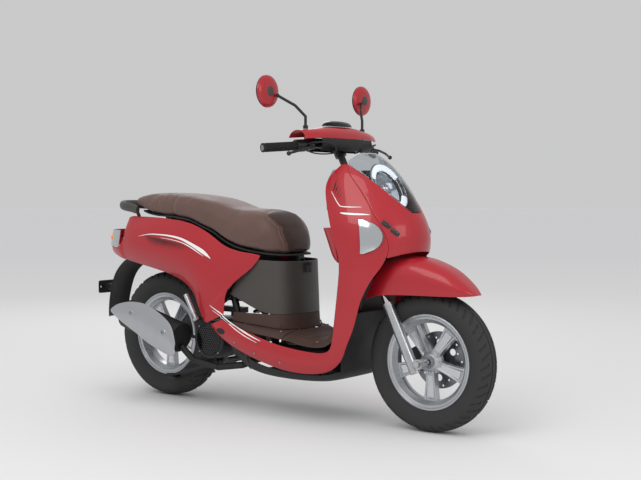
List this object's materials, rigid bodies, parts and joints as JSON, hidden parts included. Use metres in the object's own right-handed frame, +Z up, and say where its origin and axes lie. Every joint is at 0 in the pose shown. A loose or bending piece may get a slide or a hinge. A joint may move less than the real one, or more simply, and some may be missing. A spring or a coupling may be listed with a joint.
{
  "type": "moped scooter",
  "caption": "Step-through moped scooter with sprung fork and swing unit, moulded body panels, opening two-step seat, disc front brake and folding stands.",
  "frame": {"origin": "on the ground under the centre of the overall box", "axes": "+X forward, +Y to the rider's left, +Z up"},
  "size_m": [1.8646, 0.6832, 1.2352],
  "materials": {
    "body_red": "metallic gloss",
    "dark_plastic": "satin",
    "black_plastic": "fine grain",
    "smoke_lens": "tinted clear",
    "clear_lens": "clear",
    "red_lens": "red clear",
    "brown_mat": "matt grained",
    "seat_vinyl": "soft vinyl",
    "frame_black": "satin",
    "muffler_black": "heat-proof matt",
    "shield_silver": "satin silver",
    "fork_chrome": "polished",
    "fork_silver": "satin",
    "wheel_silver": "painted silver",
    "engine_cast": "as cast",
    "disc_steel": "ground",
    "spring_red": "gloss",
    "tyre_rubber": "matt",
    "grip_rubber": "matt",
    "switch_grey": "satin",
    "switch_red": "satin"
  },
  "bodies": {
    "chassis": {"main_frame": "frame_black", "front_cover": "body_red", "leg_shield_right": "body_red", "leg_shield_left": "body_red", "headlight_bowl": "black_plastic", "headlight_lens": "smoke_lens", "signal_lenses": "clear_lens", "inner_leg_shield": "dark_plastic", "glove_pockets": "body_red", "floor_panel": "brown_mat", "under_cover": "black_plastic", "centre_cover": "dark_plastic", "side_cover_right": "body_red", "side_cover_left": "body_red", "tail_lamp": "red_lens", "grab_rail": "dark_plastic", "rear_fender": "black_plastic", "luggage_box": "black_plastic", "fuel_tank": "black_plastic", "battery": "black_plastic", "shock_absorber": "disc_steel"},
    "steering": {"steering_stem": "frame_black", "fork_tubes": "fork_chrome", "handlebar": "frame_black", "bar_cover_upper": "body_red", "bar_cover_lower": "black_plastic", "meter": "smoke_lens", "left_grip": "grip_rubber", "lever_brackets": "frame_black", "front_fender": "body_red"},
    "fork_lower": {"fork_sliders": "fork_silver", "brake_caliper": "frame_black"},
    "front_wheel": {"front_tyre": "tyre_rubber", "front_rim": "wheel_silver", "brake_disc": "disc_steel"},
    "right_lever": {"right_brake_lever": "frame_black"},
    "left_lever": {"left_brake_lever": "frame_black"},
    "throttle": {"throttle_grip": "grip_rubber"},
    "right_mirror": {"mirror_right": "body_red"},
    "left_mirror": {"mirror_left": "body_red"},
    "starter": {"starter_button": "switch_red"},
    "horn": {"horn_button": "switch_grey"},
    "turn_switch": {"signal_switch": "switch_grey"},
    "key": {"ignition_key": "fork_chrome"},
    "seat": {"seat_cushion": "seat_vinyl", "seat_pan": "black_plastic"},
    "right_peg": {"footpeg_right": "fork_silver"},
    "left_peg": {"footpeg_left": "fork_silver"},
    "kick_stand": {"side_stand": "frame_black"},
    "engine": {"engine_case": "engine_cast", "fan_shroud": "black_plastic", "exhaust": "muffler_black", "muffler_shield": "shield_silver"},
    "main_stand": {"centre_stand": "frame_black"},
    "rear_wheel": {"rear_tyre": "tyre_rubber", "rear_rim": "wheel_silver"},
    "shock_lower": {"shock_rod": "disc_steel", "shock_spring": "spring_red"},
    "hook": {"bag_hook": "black_plastic"}
  },
  "joints": [
    {"name": "steering_turn", "type": "hinge", "parent": "chassis", "child": "steering", "pos_m": [0.65288, 0, 0.2425], "axis": [-0.4462, 0, 0.8949], "range_deg": [-40, 40]},
    {"name": "fork_travel", "type": "slide", "parent": "steering", "child": "fork_lower", "axis": [-0.4462, 0, 0.8949], "range_m": [-0.02, 0.05], "stiffness_N_per_m": 12000, "springref_m": -0.026},
    {"name": "front_wheel_spin", "type": "hinge", "parent": "fork_lower", "child": "front_wheel", "pos_m": [0.68975, 0, 0.2425], "axis": [0, 1, 0], "continuous": true},
    {"name": "throttle_twist", "type": "hinge", "parent": "steering", "child": "throttle", "pos_m": [0.24392, -0.25, 0.98588], "axis": [-0.3596, -0.9306, -0.068], "range_deg": [0, 70], "stiffness_Nm_per_rad": 0.3, "springref_deg": -11.46},
    {"name": "right_brake_pull", "type": "hinge", "parent": "steering", "child": "right_lever", "pos_m": [0.30497, -0.18, 0.98599], "axis": [0, 0, -1], "range_deg": [0, 18], "stiffness_Nm_per_rad": 2, "springref_deg": -5.73},
    {"name": "left_brake_pull", "type": "hinge", "parent": "steering", "child": "left_lever", "pos_m": [0.30497, 0.18, 0.98599], "axis": [0, 0, 1], "range_deg": [0, 18], "stiffness_Nm_per_rad": 2, "springref_deg": -5.73},
    {"name": "right_mirror_turn", "type": "hinge", "parent": "steering", "child": "right_mirror", "pos_m": [0.20835, -0.253, 1.16419], "axis": [0, 0, 1], "range_deg": [-18, 18]},
    {"name": "left_mirror_turn", "type": "hinge", "parent": "steering", "child": "left_mirror", "pos_m": [0.20835, 0.253, 1.16419], "axis": [0, 0, 1], "range_deg": [-18, 18]},
    {"name": "starter_press", "type": "slide", "parent": "steering", "child": "starter", "axis": [0.9328, -0.3604, 0], "range_m": [0, 0.003], "stiffness_N_per_m": 600, "springref_m": -0.002},
    {"name": "horn_press", "type": "slide", "parent": "steering", "child": "horn", "axis": [0.9328, 0.3604, 0], "range_m": [0, 0.003], "stiffness_N_per_m": 600, "springref_m": -0.002},
    {"name": "turn_switch_slide", "type": "slide", "parent": "steering", "child": "turn_switch", "axis": [-0.3596, 0.9306, -0.068], "range_m": [-0.003, 0.003]},
    {"name": "key_turn", "type": "hinge", "parent": "chassis", "child": "key", "pos_m": [0.338, -0.075, 0.772], "axis": [-1, 0, 0], "range_deg": [0, 90]},
    {"name": "seat_open", "type": "hinge", "parent": "chassis", "child": "seat", "pos_m": [0.10775, 0, 0.58], "axis": [0, 1, 0], "range_deg": [0, 60]},
    {"name": "right_peg_fold", "type": "hinge", "parent": "chassis", "child": "right_peg", "pos_m": [-0.25225, -0.187, 0.344], "axis": [0.8624, 0, 0.5062], "range_deg": [0, 88]},
    {"name": "left_peg_fold", "type": "hinge", "parent": "chassis", "child": "left_peg", "pos_m": [-0.25225, 0.187, 0.344], "axis": [-0.8624, 0, -0.5062], "range_deg": [0, 88]},
    {"name": "side_stand_fold", "type": "hinge", "parent": "chassis", "child": "kick_stand", "pos_m": [-0.08425, 0.13, 0.172], "axis": [0, -0.9397, -0.342], "range_deg": [0, 105], "stiffness_Nm_per_rad": 1.5, "springref_deg": -85.94},
    {"name": "rear_swing", "type": "hinge", "parent": "chassis", "child": "engine", "pos_m": [-0.09525, 0, 0.205], "axis": [0, 1, 0], "range_deg": [-3, 5], "stiffness_Nm_per_rad": 5500, "springref_deg": -2.29},
    {"name": "centre_stand_fold", "type": "hinge", "parent": "engine", "child": "main_stand", "pos_m": [-0.24025, 0, 0.172], "axis": [0, -1, 0], "range_deg": [0, 72], "stiffness_Nm_per_rad": 4, "springref_deg": -85.94},
    {"name": "rear_wheel_spin", "type": "hinge", "parent": "engine", "child": "rear_wheel", "pos_m": [-0.56125, 0, 0.2515], "axis": [0, 1, 0], "continuous": true},
    {"name": "shock_travel", "type": "slide", "parent": "chassis", "child": "shock_lower", "axis": [0.2694, 0, 0.963], "range_m": [-0.03, 0.045], "deforming": ["shock_spring"]},
    {"name": "hook_fold", "type": "hinge", "parent": "chassis", "child": "hook", "pos_m": [0.1456, 0, 0.53], "axis": [0, 1, 0], "range_deg": [0, 50]}
  ],
  "couplings": [
    {"joint": "shock_travel", "follows": "rear_swing", "m_per_rad": 0.47526}
  ]
}
